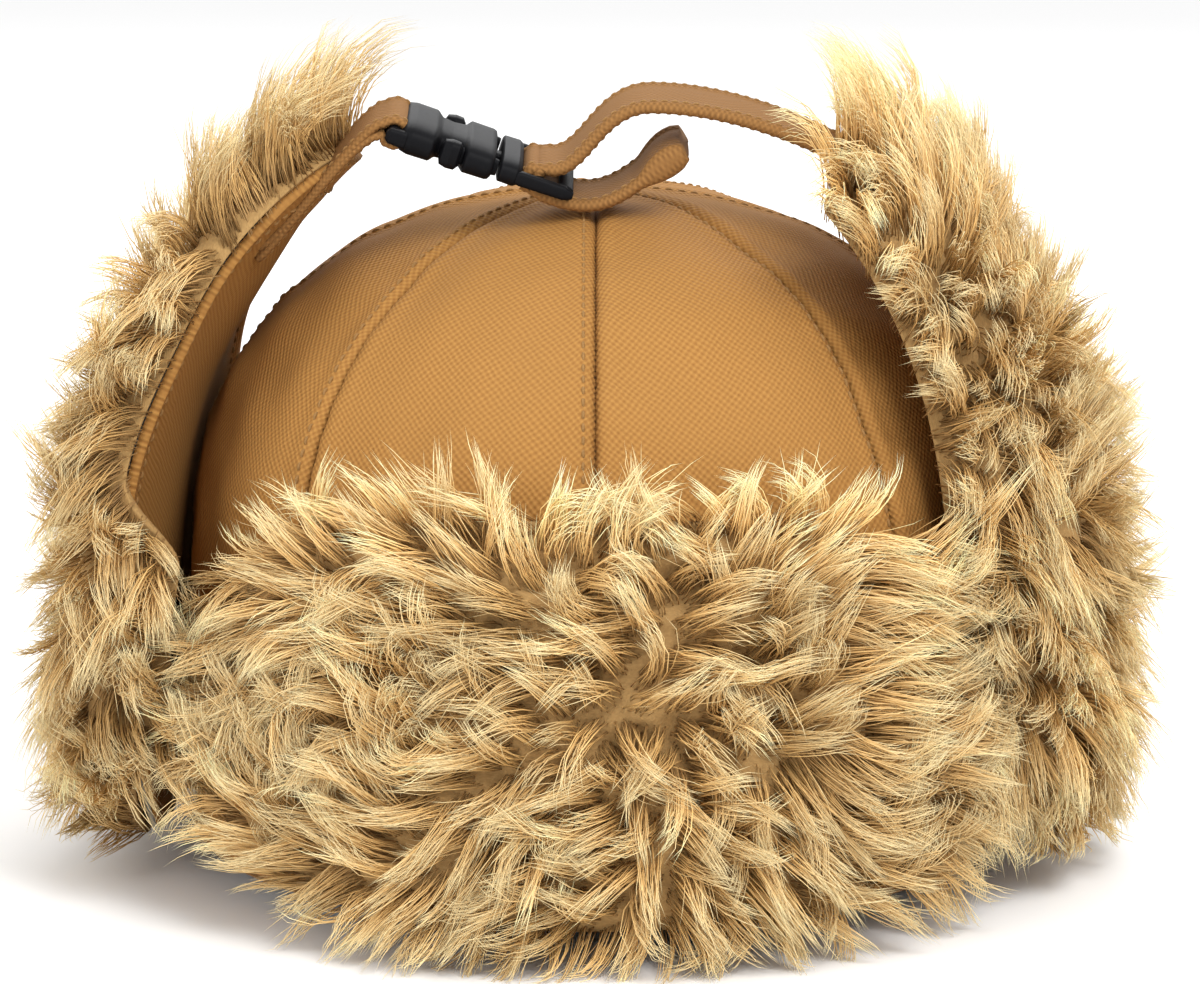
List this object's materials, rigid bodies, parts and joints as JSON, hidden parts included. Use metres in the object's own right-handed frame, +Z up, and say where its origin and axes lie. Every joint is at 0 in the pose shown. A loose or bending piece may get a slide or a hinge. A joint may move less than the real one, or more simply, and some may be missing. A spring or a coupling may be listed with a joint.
{
  "type": "trapper hat",
  "caption": "Padded canvas winter hat with a fur-faced visor, neck flap and ear flaps, folded up and buckled over the crown.",
  "frame": {"origin": "centre of the lower rim, in the plane the hat rests on", "axes": "+Z up, -Y to the front of the hat, +X to the wearer's left"},
  "size_m": [0.2726, 0.279, 0.1779],
  "materials": {
    "canvas": "coarse duck weave",
    "tape": "stitched canvas tape",
    "fur": "long pile faux fur, pale tips over brown roots",
    "wadding": "quilted wadding",
    "lining": "plain woven lining",
    "sweatband": "brushed band",
    "binding": "folded canvas tape",
    "buckle": "moulded black plastic"
  },
  "bodies": {
    "crown": {"gore_front_left": "canvas", "gore_front_right": "canvas", "gore_side_left_front": "canvas", "gore_side_right_front": "canvas", "gore_side_left_back": "canvas", "gore_side_right_back": "canvas", "gore_back_left": "canvas", "gore_back_right": "canvas", "wadding_front_left": "wadding", "wadding_front_right": "wadding", "wadding_side_left_front": "wadding", "wadding_side_right_front": "wadding", "wadding_side_left_back": "wadding", "wadding_side_right_back": "wadding", "wadding_back_left": "wadding", "wadding_back_right": "wadding", "crown_lining": "lining", "sweatband": "sweatband", "rim_binding": "binding"},
    "visor": {"visor_canvas": "canvas", "visor_interlining": "wadding", "visor_fur": "fur"},
    "neck_flap": {"neck_flap_canvas": "canvas", "neck_flap_interlining": "wadding", "neck_flap_fur": "fur"},
    "left_flap": {"left_flap_canvas": "canvas", "left_flap_interlining": "wadding", "left_flap_fur": "fur", "buckle_loop": "tape", "buckle_socket": "buckle"},
    "right_flap": {"right_flap_canvas": "canvas", "right_flap_interlining": "wadding", "right_flap_fur": "fur", "strap_anchor": "tape"},
    "strap": {"strap": "tape", "buckle_clip": "buckle"},
    "prong_front": {"prong_front": "buckle"},
    "prong_rear": {"prong_rear": "buckle"}
  },
  "joints": [
    {"name": "visor_fold", "type": "hinge", "parent": "crown", "child": "visor", "pos_m": [0, -0.109, 0], "axis": [1, 0, 0], "range_deg": [0, 120]},
    {"name": "neck_flap_fold", "type": "hinge", "parent": "crown", "child": "neck_flap", "pos_m": [0, 0.109, 0], "axis": [-1, 0, 0], "range_deg": [0, 120]},
    {"name": "left_flap_fold", "type": "hinge", "parent": "crown", "child": "left_flap", "pos_m": [-0.0975, 0, 0], "axis": [0, -1, 0], "range_deg": [0, 172]},
    {"name": "right_flap_fold", "type": "hinge", "parent": "crown", "child": "right_flap", "pos_m": [0.0975, 0, 0], "axis": [0, 1, 0], "range_deg": [0, 172]},
    {"name": "strap_fold", "type": "hinge", "parent": "right_flap", "child": "strap", "pos_m": [0.05997, -0.034, 0.16202], "axis": [0, 1, 0], "range_deg": [0, 60]},
    {"name": "prong_front_squeeze", "type": "hinge", "parent": "strap", "child": "prong_front", "pos_m": [-0.02203, -0.04312, 0.16017], "axis": [-0.3256, 0.1479, -0.9339], "range_deg": [0, 8], "stiffness_Nm_per_rad": 0.12},
    {"name": "prong_rear_squeeze", "type": "hinge", "parent": "strap", "child": "prong_rear", "pos_m": [-0.02203, -0.02445, 0.16313], "axis": [0.3256, -0.1479, 0.9339], "range_deg": [0, 8], "stiffness_Nm_per_rad": 0.12}
  ]
}
